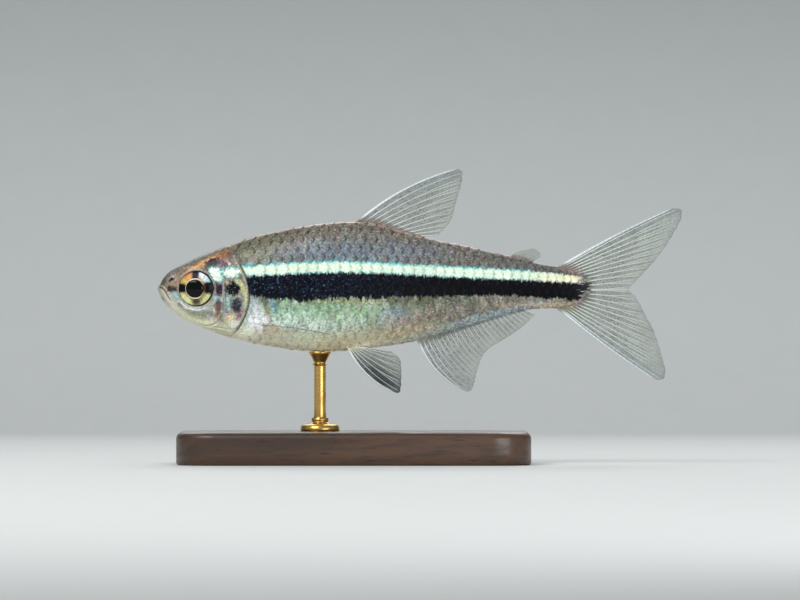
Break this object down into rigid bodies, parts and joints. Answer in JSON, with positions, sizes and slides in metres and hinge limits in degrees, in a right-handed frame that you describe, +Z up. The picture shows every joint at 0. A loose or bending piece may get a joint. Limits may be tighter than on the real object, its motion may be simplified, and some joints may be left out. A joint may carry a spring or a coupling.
{
  "type": "black neon tetra, life-size display model",
  "caption": "Small slender aquarium fish with a pale stripe over a black band, forked tail, spread clear fins, swimming level on a rod over a flat base.",
  "frame": {"origin": "middle of the bounding box on the floor, under the base", "axes": "+Z up; the head points to -X and the tail to +X; the fish's left side faces -Y"},
  "size_m": [0.0401, 0.015, 0.0225],
  "materials": {
    "skin": "wet, silvery fish skin with small scales, cast and painted",
    "gill_cover": "smooth pearly skin over bone",
    "eye": "clear dome over a gold and black iris",
    "fin": "thin clear membrane with fine whitish rays",
    "base_wood": "dark stained wood, satin varnish",
    "rod_brass": "turned and lightly polished"
  },
  "bodies": {
    "root": {"head": "skin", "trunk": "skin", "tail_stalk": "skin", "gill_cover_left": "gill_cover", "gill_cover_right": "gill_cover", "eye_left": "eye", "eye_right": "eye", "dorsal_fin": "fin", "adipose_fin": "fin", "anal_fin": "fin", "caudal_fin_upper": "fin", "caudal_fin_lower": "fin", "pectoral_fin_left": "fin", "pectoral_fin_right": "fin", "pelvic_fin_left": "fin", "pelvic_fin_right": "fin", "stand_base": "base_wood", "stand_rod": "rod_brass"}
  },
  "joints": []
}
